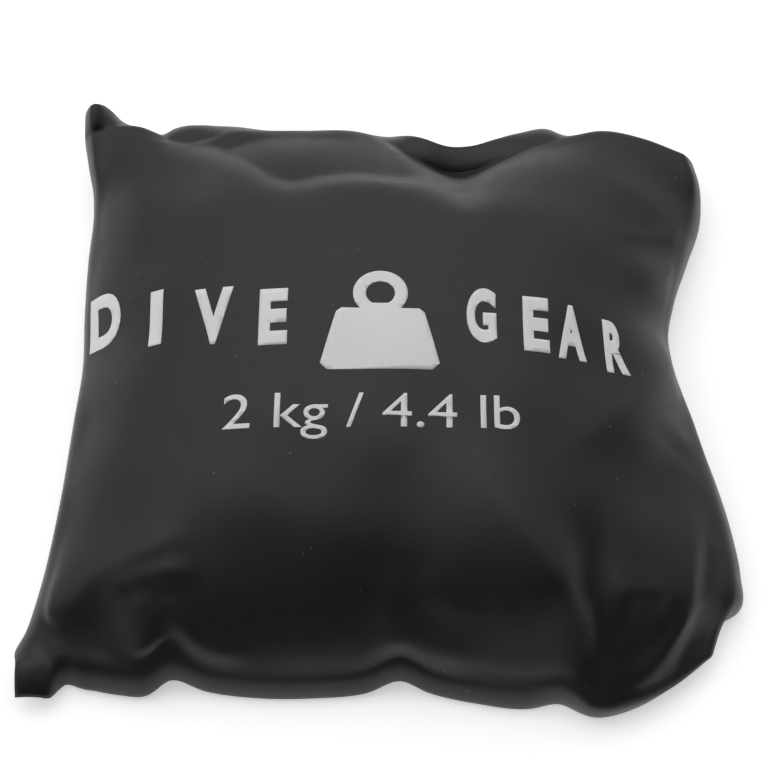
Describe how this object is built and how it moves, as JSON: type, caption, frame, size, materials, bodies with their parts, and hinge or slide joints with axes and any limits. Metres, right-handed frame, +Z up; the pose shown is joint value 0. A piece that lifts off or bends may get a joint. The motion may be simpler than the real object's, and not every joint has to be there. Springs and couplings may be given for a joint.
{
  "type": "soft dive weight",
  "caption": "Square pouch of black coated fabric, welded flat round its rim and filled with loose lead shot, as ballast for a diver's pocket or belt pouch.",
  "frame": {"origin": "on the surface the pouch lies on, under the middle of the pouch", "axes": "+X from the reader's left to right across the print, +Y from the near edge to the far edge, +Z up out of the printed face"},
  "size_m": [0.15, 0.142, 0.035],
  "materials": {
    "coated_fabric": "satin black polyvinyl coating on woven polyester",
    "inner_film": "clear polythene film",
    "lead": "dull grey lead shot",
    "print_ink": "light grey screen-printing ink"
  },
  "bodies": {
    "root": {"front_panel": "coated_fabric", "back_panel": "coated_fabric", "inner_bag_front": "inner_film", "inner_bag_back": "inner_film", "lead_shot": "lead"}
  },
  "joints": []
}
